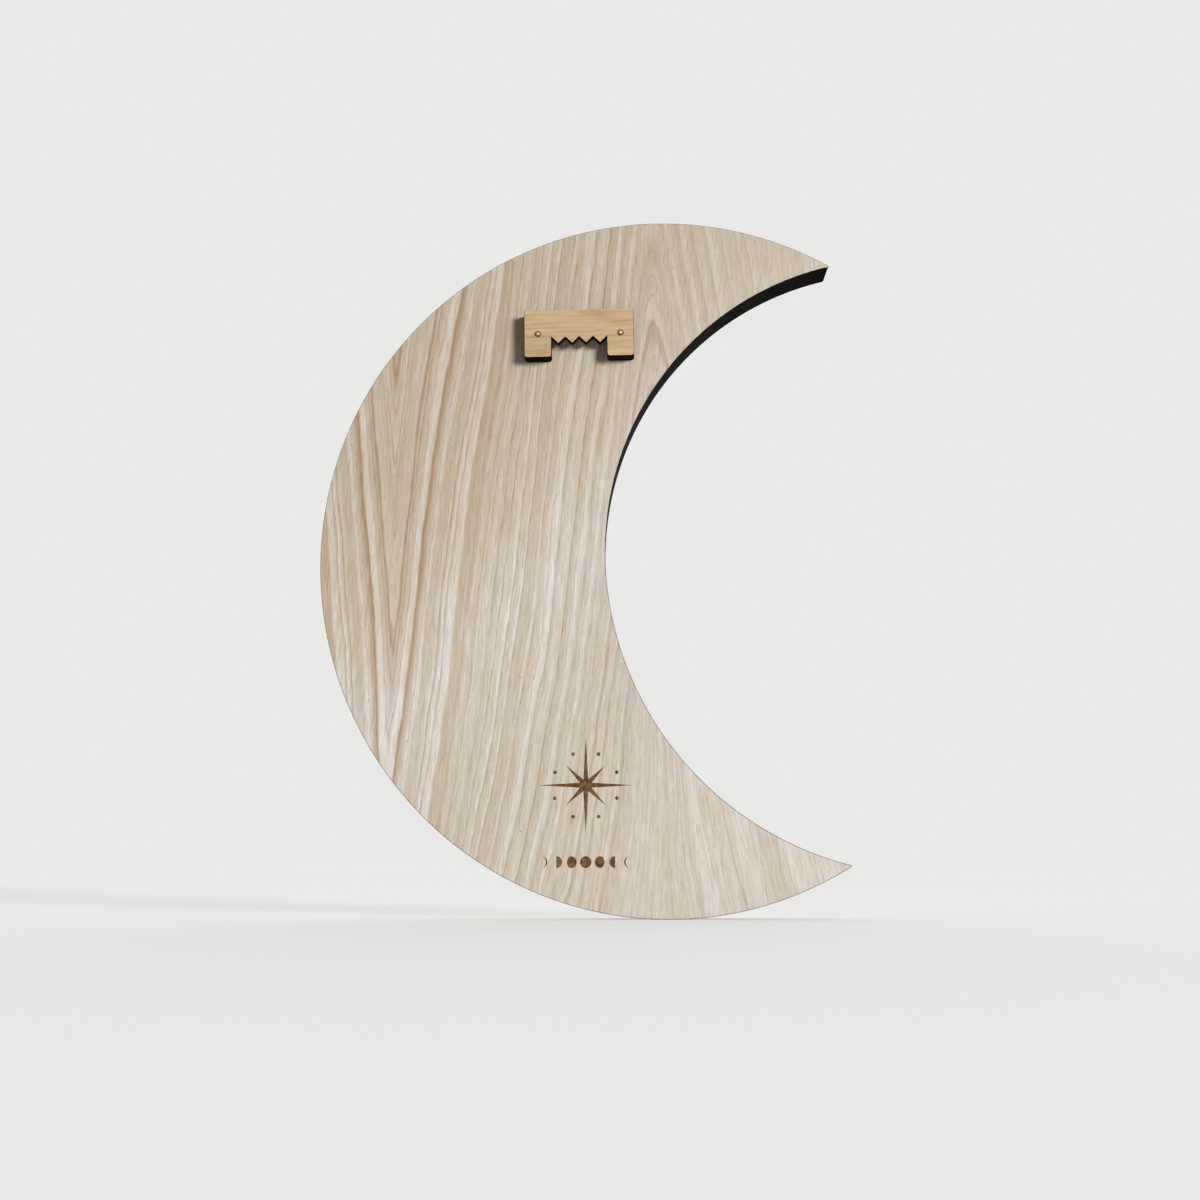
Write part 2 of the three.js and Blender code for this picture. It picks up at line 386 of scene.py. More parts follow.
def outline_distance(tree, across, along):
    """How far inside the outline a place lies, in mm."""
    full_width = add(tree, "ShaderNodeMath", [across, WIDTH_SHARE], operation="DIVIDE")
    spot = add(tree, "ShaderNodeCombineXYZ", [full_width, 0.0, along])
    reach = add(tree, "ShaderNodeVectorMath", [spot], operation="LENGTH")
    from_rim = add(tree, "ShaderNodeMath", [DISC_RADIUS, reach.outputs["Value"]], operation="SUBTRACT")
    reach = add(tree, "ShaderNodeVectorMath", [spot, (BAY_OFFSET, 0, 0)], operation="DISTANCE")
    from_bay = add(tree, "ShaderNodeMath", [reach.outputs["Value"], BAY_RADIUS], operation="SUBTRACT")
    return add(tree, "ShaderNodeMath", [from_rim, from_bay], operation="MINIMUM")


print("ring width", RING_WIDTH, "mm")

# %% [markdown]
# ## The veneer's colours
#
# Sanded oak under a clear matt sealer is pale and warm, with a soft low gloss. Each colour
# below is laid over the last: the rings' own tones, the marks that end each ring, the
# fibres and pores, a painted falloff of light over the sheet, the pin knots, and the brown
# that the laser leaves along the outline.

# %% Oak veneer material
SCORCH_WIDTH = 0.5
SCORCH_SHADE = 0.5
# Slow waves bend the rings, and a fine ripple feathers their edges: the size in mm
# across and along the board, and the sway in mm.
WAVES = ((34, 120, 8.0), (9, 50, 1.2), (1.5, 16, 1.5))
WOBBLES_PER_RING = 0.9
WOBBLE = 1.6  # the most rings that a wobble moves one by
TONES_PER_RING = 0.6
# The marks that repeat with the rings: how many sets to a ring, and how strong the brown
# line, the tan band before it and the pale streak after it can be.
RING_SETS = ((1.0, 1.0, 0.8, 0.5), (2.7, 0.8, 0.3, 0.25))
# A mark's colour, and where in the ring it shows, from black for nowhere to white.
LINE = ("B59678", [(0.0, "000000"), (1.0, "303030"), (0.55, "000000"), (0.8, "909090"), (0.9, "FFFFFF")])
BAND = ("C6B096", [(0.0, "000000"), (1.0, "E0E0E0"), (0.3, "000000"), (0.75, "B0B0B0")])
STREAK = ("F5EFE5", [(0.0, "404040"), (1.0, "000000"), (0.14, "FFFFFF"), (0.4, "000000")])
# Streaks in the wood: their width and length in mm, the span of the noise over which they
# show, and what they multiply the colour by at both ends of it. A darker one is browner
# too. Real pores are finer than this and wouldn't show.
FIBRES = (0.5, 9.0, 0.3, 0.7, (0.86, 0.81, 0.74), (1.06, 1.11, 1.18))
PORES = (0.4, 5.0, 0.55, 0.72, (1.0, 1.0, 1.0), (0.87, 0.81, 0.73))
FIBRE_LEAN = 0.6  # as a share of the rings' lean
FRONT_RINGS = 13.0  # how many rings lie between the sheets of the back and the front
KNOTS = ((-60.4, -52.7), (-60.2, -63.0), (-59.5, -115.2))  # on the back, from the disc's centre
KNOT_RADIUS = 0.6
KNOT_SHADE = 0.7
CENTRE_LIGHT = 0.5  # where the disc's centre lies on the ramp of the painted light falloff
LIGHTER_DOWN = 0.0036  # how fast the painted light rises on that ramp, for each mm down the board
LIGHTER_RIGHT = 0.0032  # and for each mm to the right
FADE_START = -90.0  # across from the disc's centre, where the figure begins to fade
FADE_END = 45.0
FADED = 0.6  # the share of it that is gone there
LOWER_SHARE = 0.15  # how much sooner it fades for each mm down


def mixed_in(tree, colour, factor, other, how="MIX"):
    """Lays another colour over a colour."""
    layers = {"Factor": factor, "A": colour, "B": other}
    return add(tree, "ShaderNodeMix", layers, data_type="RGBA", blend_type=how)


back_depth, _ = layer("back_veneer")
core_middle = sum(layer("board_core")) / 2


def oak_veneer():
    material, tree, surface, place = new_material("sanded_oak_veneer")
    centred = add(tree, "ShaderNodeVectorMath", [place, (DISC_X, 0, DISC_Z)], operation="SUBTRACT")
    parts = add(tree, "ShaderNodeSeparateXYZ", [centred]).outputs
    along = parts["Z"]
    across = add(tree, "ShaderNodeMath", [along, AXIS_LEAN, parts["X"]], operation="MULTIPLY_ADD")
    for width, length, sway in WAVES:
        stretched = add(tree, "ShaderNodeMapping", {"Vector": centred, "Scale": (1 / width, 1, 1 / length)})
        wave = add(tree, "ShaderNodeTexNoise", {"Vector": stretched, "Scale": 1.0, "Detail": 2.0})
        middle = add(tree, "ShaderNodeMath", [wave.outputs["Fac"], 0.5], operation="SUBTRACT")
        across = add(tree, "ShaderNodeMath", [middle, sway, across], operation="MULTIPLY_ADD")
    ring, lean = ring_number(tree, across, along)
    # The front is another sheet from the same log, so other rings come out bold there.
    is_front = add(tree, "ShaderNodeMath", [parts["Y"], core_middle], operation="GREATER_THAN")
    ring = add(tree, "ShaderNodeMath", [is_front, FRONT_RINGS, ring], operation="MULTIPLY_ADD")
    # Rings differ in width: a slow wobble of the ring number itself squeezes some of them.
    wobble = add(tree, "ShaderNodeTexNoise", {"W": ring, "Scale": WOBBLES_PER_RING, "Detail": 1.0},
                 noise_dimensions="1D")
    uneven = add(tree, "ShaderNodeMath", [wobble.outputs["Fac"], WOBBLE, ring], operation="MULTIPLY_ADD")
    tone = add(tree, "ShaderNodeTexNoise", {"W": uneven, "Scale": TONES_PER_RING, "Detail": 3.0},
               noise_dimensions="1D")
    colour = add(tree, "ShaderNodeValToRGB", [tone.outputs["Fac"]], stops=[
        (0.33, "D1C0AA"), (0.67, "EDE7DD"), (0.45, "DED1BF"), (0.56, "E7DED1")])

    # Each ring deepens to a tan band and ends in a brown line, and the next ring starts
    # with a pale streak. Chance makes most of them faint.
    for per_ring, line_most, band_most, streak_most in RING_SETS:
        scaled = add(tree, "ShaderNodeMath", [uneven, per_ring], operation="MULTIPLY")
        phase = add(tree, "ShaderNodeMath", [scaled], operation="FRACT")
        number = add(tree, "ShaderNodeMath", [scaled], operation="FLOOR")
        thrown = add(tree, "ShaderNodeTexWhiteNoise", {"W": number}, noise_dimensions="1D")
        chances = add(tree, "ShaderNodeSeparateColor", [thrown.outputs["Color"]]).outputs
        for chance, most, (tint, stops) in (
                ("Green", band_most, BAND), ("Blue", streak_most, STREAK), ("Red", line_most, LINE)):
            profile = add(tree, "ShaderNodeValToRGB", [phase], stops=stops)
            strength = add(tree, "ShaderNodeMath", [chances[chance], most], operation="MULTIPLY")
            strength = add(tree, "ShaderNodeMath", [strength, profile], operation="MULTIPLY")
            colour = mixed_in(tree, colour, strength, to_linear(tint))

    # The figure is fainter in the horns, and most of all in the lower one.
    horn = add(tree, "ShaderNodeMath", [along, -LOWER_SHARE, parts["X"]], operation="MULTIPLY_ADD")
    faint = add(tree, "ShaderNodeMapRange", [horn, FADE_START, FADE_END, 0.0, FADED],
                interpolation_type="SMOOTHSTEP")
    colour = mixed_in(tree, colour, faint, to_linear("E3D9CA"))

    # Fibres and pores lean a little with the rings.
    upright = add(tree, "ShaderNodeMath", [lean, -FIBRE_LEAN, across], operation="MULTIPLY_ADD")
    shades = []
    for width, length, low, high, first, last in (FIBRES, PORES):
        fine = add(tree, "ShaderNodeMath", [upright, width], operation="DIVIDE")
        slow = add(tree, "ShaderNodeMath", [along, length], operation="DIVIDE")
        run = add(tree, "ShaderNodeCombineXYZ", [fine, width, slow])
        streaks = add(tree, "ShaderNodeTexNoise", {
            "Vector": run, "Scale": 1.0, "Detail": 3.0, "Roughness": 0.65})
        shades.append(add(tree, "ShaderNodeMapRange", [
            streaks.outputs["Fac"], (low,) * 3, (high,) * 3, first, last], data_type="FLOAT_VECTOR"))
        colour = mixed_in(tree, colour, 1.0, shades[-1], "MULTIPLY")

    # Painted light falloff: the sheet is a little darker and warmer towards the top and the left
    # edge, and lighter towards the lower right.
    depth = add(tree, "ShaderNodeMath", [along, -LIGHTER_DOWN, CENTRE_LIGHT], operation="MULTIPLY_ADD")
    depth = add(tree, "ShaderNodeMath", [parts["X"], LIGHTER_RIGHT, depth], operation="MULTIPLY_ADD")
    painted_falloff = add(tree, "ShaderNodeValToRGB", [depth], stops=[
        (0.0, "E2DED9"), (1.0, "F6F7F9"), (0.2, "E9E6E3"), (0.38, "F5F8FC"), (0.65, "EEEEEF")])
    colour = mixed_in(tree, colour, 1.0, painted_falloff, "MULTIPLY")

    # The pin knots are small brown flecks.
    for x, z in KNOTS:
        away = add(tree, "ShaderNodeVectorMath", [centred, (x, back_depth, z)], operation="DISTANCE")
        fleck = add(tree, "ShaderNodeMapRange", [away.outputs["Value"], 0.0, KNOT_RADIUS, KNOT_SHADE, 0.0])
        colour = mixed_in(tree, colour, fleck, to_linear("7A5234"))

    # The laser browns the veneer along the outline that it cuts.
    inside = outline_distance(tree, parts["X"], along)
    burnt = add(tree, "ShaderNodeMapRange", [inside, 0.0, SCORCH_WIDTH, SCORCH_SHADE, 0.0])
    colour = mixed_in(tree, colour, burnt, to_linear("6B5038"))
    coat(tree, surface, colour.outputs["Result"], shades[0],
         strength=0.35, depth=0.04, roughness=0.58, gloss=0.3)
    return material


veneer_oak = oak_veneer()
print("made", veneer_oak.name)

# %% [markdown]
# ## The hanger's plywood, the pins' brass and the burnt engraving
#
# The hanger is cut from thin plywood with a warm tan face: its grain is fine and runs
# along the bar, and the bar leans by one degree, so the pattern leans with it. A faint
# line crosses both tabs at the level of the notches, and a dark ring of painted shade
# lies on the wood round each pin's head. Its cut edges are scorched like the board's, a
# little browner because the sheet is thin. The pins are steel with a thin brass plating:
# it is dull, and its rim is painted dark brown, as painted shade and reflection where the
# dome turns from the light. The engraving is veneer burnt away line by line, so it is
# brown, uneven and quite matt.

# %% Hanger, pin and engraving materials
NOISE_SPAN = (0.3, 0.7)  # nearly all values of a noise lie between these
BAND_SIZE = (26.0, 5.0, 1.5)  # of the plywood's grain: along the bar, through the sheet and up
THREAD_SIZE = (5.0, 5.0, 0.28)
THREAD_TONES = (0.93, 1.05)
SCORE_WIDTH = 0.45
SCORE_SHADE = 0.6
TAB_TONES = (0.88, 1.02)  # of the left tab and the right one
PIN_X = WINDOW_WIDTH / 2 + TAB_WIDTH / 2
# The painted shade round each pin's head: how far it reaches in mm, and how dark it is.
PIN_SHADE_RADIUS = 1.75
PIN_SHADE_STRENGTH = 0.85
SMEAR_SIZE = 0.8
RIM_SHADE_SPAN = (0.55, 0.85)  # where the painted shade on the rim begins and is full, as shares of the head's radius
PLATING_ROUGHNESS = (0.55, 0.7)
LASER_PITCH = 0.4935  # between the laser's lines: real ones are closer and wouldn't show
WAVE_TURN = 20.0  # radians that a wave texture turns for each unit, at a scale of 1
CHAR_PATCH = 1.6
ROW_SHARE = 0.25  # how much the laser's lines count in the colour


def from_pins(tree, level):
    """How far in mm a place lies from the nearer pin's axis."""
    parts = add(tree, "ShaderNodeSeparateXYZ", [level]).outputs
    sideways = add(tree, "ShaderNodeMath", [parts["X"]], operation="ABSOLUTE")
    folded = add(tree, "ShaderNodeCombineXYZ", [sideways, 0.0, parts["Z"]])
    pin = (PIN_X, 0, PIN_ABOVE_NOTCHES)
    return add(tree, "ShaderNodeVectorMath", [folded, pin], operation="DISTANCE").outputs["Value"]


def tan_plywood():
    material, tree, surface, place = new_material("laser_cut_tan_plywood")
    level = add(tree, "ShaderNodeMapping", {"Vector": place, "Rotation": (0, math.radians(HANGER_TILT), 0)})
    stretch = tuple(1 / size for size in BAND_SIZE)
    grain = add(tree, "ShaderNodeMapping", {"Vector": level, "Scale": stretch})
    bands = add(tree, "ShaderNodeTexNoise", {"Vector": grain, "Scale": 1.0, "Detail": 3.0}).outputs["Fac"]
    colour = add(tree, "ShaderNodeValToRGB", [bands], stops=[
        (0.25, "B08C60"), (0.75, "D3B891"), (0.42, "C0A178"), (0.52, "C8AC85")])
    stretch = tuple(1 / size for size in THREAD_SIZE)
    thread = add(tree, "ShaderNodeMapping", {"Vector": level, "Scale": stretch})
    fibre = add(tree, "ShaderNodeTexNoise", {"Vector": thread, "Scale": 1.0, "Detail": 2.0}).outputs["Fac"]
    shade = add(tree, "ShaderNodeMapRange", [fibre, *NOISE_SPAN, *THREAD_TONES])
    colour = mixed_in(tree, colour, 1.0, shade, "MULTIPLY")

    # The line across the tabs, which the toothed window interrupts.
    parts = add(tree, "ShaderNodeSeparateXYZ", [level]).outputs
    height = add(tree, "ShaderNodeMath", [parts["Z"]], operation="ABSOLUTE")
    scored = add(tree, "ShaderNodeMapRange", [height, 0.0, SCORE_WIDTH, SCORE_SHADE, 0.0],
                 interpolation_type="SMOOTHSTEP")
    sideways = add(tree, "ShaderNodeMath", [parts["X"]], operation="ABSOLUTE")
    on_tab = add(tree, "ShaderNodeMath", [sideways, WINDOW_WIDTH / 2], operation="GREATER_THAN")
    scored = add(tree, "ShaderNodeMath", [scored, on_tab], operation="MULTIPLY")
    colour = mixed_in(tree, colour, scored, to_linear("A07C50"))
    # Below that line the tone drifts from the left tab to the right one.
    drift = add(tree, "ShaderNodeMapRange", [parts["X"], -WINDOW_WIDTH / 2, WINDOW_WIDTH / 2, *TAB_TONES])
    below = add(tree, "ShaderNodeMath", [parts["Z"], 0.0], operation="LESS_THAN")
    colour = mixed_in(tree, colour, below, drift, "MULTIPLY")
    away = from_pins(tree, level)
    # Painted shade: a dark ring on the wood round each pin's head.
    pin_shade = add(tree, "ShaderNodeMapRange", [away, PIN_HEAD_RADIUS, PIN_SHADE_RADIUS, PIN_SHADE_STRENGTH, 0.0],
               interpolation_type="SMOOTHSTEP")
    colour = mixed_in(tree, colour, pin_shade, to_linear("5A4228"))
    coat(tree, surface, colour.outputs["Result"], fibre, strength=0.3, depth=0.04, roughness=0.6, gloss=0.3)
    return material


def plated_brass():
    material, tree, surface, place = new_material("brass_plated_steel")
    level = add(tree, "ShaderNodeMapping", {"Vector": place, "Rotation": (0, math.radians(HANGER_TILT), 0)})
    smears = add(tree, "ShaderNodeTexNoise", {"Vector": place, "Scale": 1 / SMEAR_SIZE, "Detail": 3.0})
    smears = smears.outputs["Fac"]
    colour = add(tree, "ShaderNodeValToRGB", [smears], stops=[(0.3, "AE9470"), (0.7, "C9B08A")])
    # Painted shade and reflection: bright on the crown, and dark brown towards the rim.
    share = add(tree, "ShaderNodeMath", [from_pins(tree, level), PIN_HEAD_RADIUS], operation="DIVIDE")
    rim_shade = add(tree, "ShaderNodeMapRange", [share, *RIM_SHADE_SPAN, 0.0, 1.0], interpolation_type="SMOOTHSTEP")
    colour = mixed_in(tree, colour, rim_shade, to_linear("3A2917"))
    dullness = add(tree, "ShaderNodeMapRange", [smears, *NOISE_SPAN, *PLATING_ROUGHNESS])
    tree.links.new(colour.outputs["Result"], surface.inputs["Base Color"])
    tree.links.new(dullness.outputs[0], surface.inputs["Roughness"])
    surface.inputs["Metallic"].default_value = 1.0
    return material


def burnt_engraving():
    material, tree, surface, place = new_material("laser_engraved_oak")
    # The laser's lines burn deeper where the wood is softer.
    rows = add(tree, "ShaderNodeTexWave", {
        "Vector": place, "Scale": math.tau / WAVE_TURN / LASER_PITCH, "Distortion": 1.2},
        bands_direction="Z").outputs["Fac"]
    patches = add(tree, "ShaderNodeTexNoise", {"Vector": place, "Scale": 1 / CHAR_PATCH, "Detail": 3.0})
    burn = add(tree, "ShaderNodeMath", [rows, ROW_SHARE, patches.outputs["Fac"]], operation="MULTIPLY_ADD")
    colour = add(tree, "ShaderNodeValToRGB", [burn], stops=[
        (0.35, "3A2412"), (0.85, "8A6C48"), (0.6, "6A5034")])
    coat(tree, surface, colour.outputs[0], rows, strength=0.4, depth=0.05, roughness=0.85, gloss=0.15)
    return material


hanger_plywood = tan_plywood()
hanger_scorch = scorched_edge("laser_scorched_plywood_edge", "0A0705", "1D1510")
pin_plating = plated_brass()
engraved_brown = burnt_engraving()
print("made", [m.name for m in (hanger_plywood, hanger_scorch, pin_plating, engraved_brown)])

# %% [markdown]
# ## Cut from sheet
#
# Every wooden piece is a flat outline with a thickness, as the laser leaves it, so the
# trees that draw the outlines all end in the same steps. They fill the outline, raise it
# and close the other side. They mark the rims that fingers and sanding have softened,
# for a bevel that follows. An outline is drawn flat, so they stand the piece up: its Y
# becomes Z, and the thickness grows towards the wall. The last steps make the result
# plain geometry and give it its finishes, one for the faces and one for the cut edge.

# %% Steps that cut a piece from sheet
WELD = 0.001  # points closer than this become one
RIM_ANGLE = math.radians(30)
NEAR_SHARE = 0.75  # from this share of the thickness on, an edge belongs to the near rim,
FAR_SHARE = 0.25  # and up to this one to the far rim
SHEET_INPUTS = {
    "Tilt": "Float", "Centre": "Vector", "Thickness": "Float",
    "Soften Near": "Float", "Soften Far": "Float", "Face": "Material", "Edge": "Material"}


def new_tree(name, inputs):
    """An empty geometry tree with its own inputs, given as {name: kind of socket}, and with
    those that every piece of sheet has."""
    tree = bpy.data.node_groups.new(name, "GeometryNodeTree")
    tree.interface.new_socket("Mesh", in_out="OUTPUT", socket_type="NodeSocketGeometry")
    for label, kind in (inputs | SHEET_INPUTS).items():
        tree.interface.new_socket(label, in_out="INPUT", socket_type=f"NodeSocket{kind}")
    return tree, add(tree, "NodeGroupInput").outputs


def cut_from_sheet(tree, given, outline):
    """Ends a tree: its closed outline becomes a piece of sheet that stands in its place."""
    filled = add(tree, "GeometryNodeFillCurve", {"Curve": outline}, mode="NGONS")
    raised = add(tree, "GeometryNodeExtrudeMesh", {
        "Mesh": filled, "Offset Scale": given["Thickness"], "Individual": False})
    under = add(tree, "GeometryNodeFlipFaces", {"Mesh": filled})
    joined = add(tree, "GeometryNodeJoinGeometry", [[raised, under]])
    closed = add(tree, "GeometryNodeMergeByDistance", {"Geometry": joined, "Distance": WELD * MM})
    # Only real corners count, so an edge inside a flat face gets no bevel.
    height = add(tree, "ShaderNodeSeparateXYZ", [add(tree, "GeometryNodeInputPosition")]).outputs["Z"]
    share = add(tree, "ShaderNodeMath", [height, given["Thickness"]], operation="DIVIDE")
    near = add(tree, "ShaderNodeMath", [share, NEAR_SHARE], operation="GREATER_THAN")
    far = add(tree, "ShaderNodeMath", [share, FAR_SHARE], operation="LESS_THAN")
    near = add(tree, "ShaderNodeMath", [near, given["Soften Near"]], operation="MULTIPLY")
    soft = add(tree, "ShaderNodeMath", [far, given["Soften Far"], near], operation="MULTIPLY_ADD")
    fold = add(tree, "GeometryNodeInputMeshEdgeAngle")
    corner = add(tree, "ShaderNodeMath", [fold, RIM_ANGLE], operation="GREATER_THAN")
    weight = add(tree, "ShaderNodeMath", [soft, corner], operation="MULTIPLY")
    marked = add(tree, "GeometryNodeStoreNamedAttribute", {
        "Geometry": closed, "Name": "bevel_weight_edge", "Value": weight}, data_type="FLOAT", domain="EDGE")
    turn = add(tree, "ShaderNodeCombineXYZ", [math.pi / 2, given["Tilt"]])
    stood = add(tree, "GeometryNodeTransform", {
        "Geometry": marked, "Translation": given["Centre"], "Rotation": turn})
    whole = add(tree, "GeometryNodeRealizeInstances", {"Geometry": stood})
    faced = add(tree, "GeometryNodeSetMaterial", {"Geometry": whole, "Material": given["Face"]})
    edged = add(tree, "GeometryNodeSetMaterial", {
        "Geometry": faced, "Selection": raised.outputs["Side"], "Material": given["Edge"]})
    add(tree, "NodeGroupOutput", [edged])
    return tree


print("every piece of sheet takes", len(SHEET_INPUTS), "inputs besides its own")

# %% [markdown]
# ## The crescent's tree
#
# The outline has four arcs, as a draftsman draws it: the disc, a horn's rounded point,
# the bay and the other point. A point's circle touches both big arcs from inside the
# wood, which fixes its centre by the law of cosines. The bay's arc runs the other way.
# The whole outline is narrowed at the end, so that all four arcs still meet smoothly.

# %% A tree that draws the crescent
ARC_STEPS = 300
POINT_STEPS = 9
ARC_WELD = 0.002  # the arcs' ends meet within this


def crescent_tree():
    tree, given = new_tree("crescent_board", {
        "Disc Radius": "Float", "Bay Radius": "Float", "Bay Offset": "Float", "Point Radius": "Float",
        "Width Share": "Float"})
    offset = given["Bay Offset"]
    tip = given["Point Radius"]
    to_point = add(tree, "ShaderNodeMath", [given["Disc Radius"], tip], operation="SUBTRACT")
    from_bay = add(tree, "ShaderNodeMath", [given["Bay Radius"], tip], operation="ADD")
    sides = (to_point, from_bay, offset)
    squares = [add(tree, "ShaderNodeMath", [side, 2.0], operation="POWER") for side in sides]
    top = add(tree, "ShaderNodeMath", [squares[0], squares[1]], operation="SUBTRACT")
    top = add(tree, "ShaderNodeMath", [top, squares[2]], operation="ADD")
    bottom = add(tree, "ShaderNodeMath", [offset, 2.0], operation="MULTIPLY")
    point_x = add(tree, "ShaderNodeMath", [top, bottom], operation="DIVIDE")
    across = add(tree, "ShaderNodeMath", [point_x, point_x], operation="MULTIPLY")
    rest = add(tree, "ShaderNodeMath", [squares[0], across], operation="SUBTRACT")
    point_y = add(tree, "ShaderNodeMath", [rest], operation="SQRT")
    below = add(tree, "ShaderNodeMath", [point_y, -1.0], operation="MULTIPLY")

    # The turns at which a point is seen from the disc's centre and from the bay's.
    disc_turn = add(tree, "ShaderNodeMath", [point_y, point_x], operation="ARCTAN2")
    bay_x = add(tree, "ShaderNodeMath", [point_x, offset], operation="SUBTRACT")
    bay_turn = add(tree, "ShaderNodeMath", [point_y, bay_x], operation="ARCTAN2")
    disc_sweep = add(tree, "ShaderNodeMath", [disc_turn, -2.0, math.tau], operation="MULTIPLY_ADD")
    bay_start = add(tree, "ShaderNodeMath", [bay_turn, -1.0, math.tau], operation="MULTIPLY_ADD")
    bay_sweep = add(tree, "ShaderNodeMath", [bay_turn, 2.0, -math.tau], operation="MULTIPLY_ADD")
    low_start = add(tree, "ShaderNodeMath", [disc_turn, -1.0], operation="MULTIPLY")
    high_start = add(tree, "ShaderNodeMath", [bay_turn, math.pi], operation="SUBTRACT")
    point_sweep = add(tree, "ShaderNodeMath", [disc_turn, high_start], operation="SUBTRACT")

    arcs = []
    for radius, start, sweep, x, y, steps in (
        (given["Disc Radius"], disc_turn, disc_sweep, 0.0, 0.0, ARC_STEPS),
        (tip, low_start, point_sweep, point_x, below, POINT_STEPS),
        (given["Bay Radius"], bay_start, bay_sweep, offset, 0.0, ARC_STEPS),
        (tip, high_start, point_sweep, point_x, point_y, POINT_STEPS),
    ):
        arc = add(tree, "GeometryNodeCurveArc", {
            "Resolution": steps, "Radius": radius, "Start Angle": start, "Sweep Angle": sweep})
        centre = add(tree, "ShaderNodeCombineXYZ", [x, y])
        arcs.append(add(tree, "GeometryNodeTransform", {"Geometry": arc, "Translation": centre}))
    joined = add(tree, "GeometryNodeJoinGeometry", [arcs])
    wire = add(tree, "GeometryNodeCurveToMesh", {"Curve": joined})
    closed = add(tree, "GeometryNodeMergeByDistance", {"Geometry": wire, "Distance": ARC_WELD * MM})
    loop = add(tree, "GeometryNodeMeshToCurve", {"Mesh": closed})
    narrowing = add(tree, "ShaderNodeCombineXYZ", [given["Width Share"], 1.0, 1.0])
    outline = add(tree, "GeometryNodeTransform", {"Geometry": loop, "Scale": narrowing})
    return cut_from_sheet(tree, given, outline)


board_tree = crescent_tree()
print("tree", board_tree.name, "with", len(board_tree.nodes), "nodes")

# %% [markdown]
# ## The three layers of the board
#
# A veneer is 0.6 mm thick and the core makes up the rest. Each layer runs the same tree
# with its own depth and finish. Only the two outer rims are softened, by 0.15 mm, as
# much as sanding takes off.

# %% Run a tree and keep a plain mesh
SOFTENING = 0.15
SHARP_ANGLE = math.radians(28)


def keep_mesh(piece):
    """Turns what the modifiers make into the piece's own plain mesh."""
    view = bpy.context.evaluated_depsgraph_get()
    mesh = bpy.data.meshes.new_from_object(piece.evaluated_get(view))
    piece.modifiers.clear()
    piece.data = mesh
    mesh.name = piece.name
    mesh.shade_smooth()
    mesh.set_sharp_from_angle(angle=SHARP_ANGLE)
    return piece


def grow(name, tree, values):
    """Makes a piece with a geometry tree and these inputs, then softens the marked rims."""
    piece = bpy.data.objects.new(name, bpy.data.meshes.new(name))
    bpy.context.scene.collection.objects.link(piece)
    shape = piece.modifiers.new("shape", "NODES")
    shape.node_group = tree
    labels = {item.name: item.identifier for item in tree.interface.items_tree if item.in_out == "INPUT"}
    for label, value in values.items():
        shape[labels[label]] = value
    rims = piece.modifiers.new("rims", "BEVEL")
    rims.limit_method = "WEIGHT"
    rims.width = SOFTENING * MM
    rims.segments = 1
    return keep_mesh(piece)


def volume_of(piece):
    """The volume in cubic centimetres, which is negative on a mesh that is inside out."""
    solid = bmesh.new()
    solid.from_mesh(piece.data)
    volume = solid.calc_volume(signed=True)
    solid.free()
    return round(volume / CM ** 3, 2)


# %% Make the three layers


def board_layer(name, node, face, near_soft, far_soft):
    near, far = layer(node)
    return grow(name, board_tree, {
        "Disc Radius": DISC_RADIUS * MM, "Bay Radius": BAY_RADIUS * MM, "Bay Offset": BAY_OFFSET * MM,
        "Point Radius": TIP_RADIUS * MM, "Width Share": WIDTH_SHARE,
        "Centre": (DISC_X * MM, far * MM, DISC_Z * MM), "Thickness": (far - near) * MM,
        "Soften Near": near_soft, "Soften Far": far_soft, "Face": face, "Edge": edge_scorch})


back_face = board_layer("oak_back_face", "back_veneer", veneer_oak, 1.0, 0.0)
core = board_layer("fibreboard_core", "board_core", edge_scorch, 0.0, 0.0)
front_face = board_layer("oak_front_face", "front_veneer", veneer_oak, 0.0, 1.0)
for piece in (back_face, core, front_face):
    print(piece.name, len(piece.data.polygons), "faces,", volume_of(piece), "cubic cm")

# %% [markdown]
# ## The sawtooth hanger
#
# The hanger is two layers of thin plywood, glued together. The outer one has the teeth
# that sit on the nail. The one behind it stands back from the teeth, so that the nail's
# head finds room there. Both are one outline with the same bar and the same tabs.
# Counted from either end, its corners are the bar's top, the tab's two feet, and then
# a row from tab to tab. In the toothed row every second corner is a tip, and the plain
# row has just its two ends. So a corner's number says where it lies, and one tree can
# place them all by that rule. Another tooth only needs two more steps in the row.

# %% A tree that draws a layer of the hanger
END_CORNERS = 3  # at each end: the bar's top and the tab's two feet
CORNER_STEPS = 6


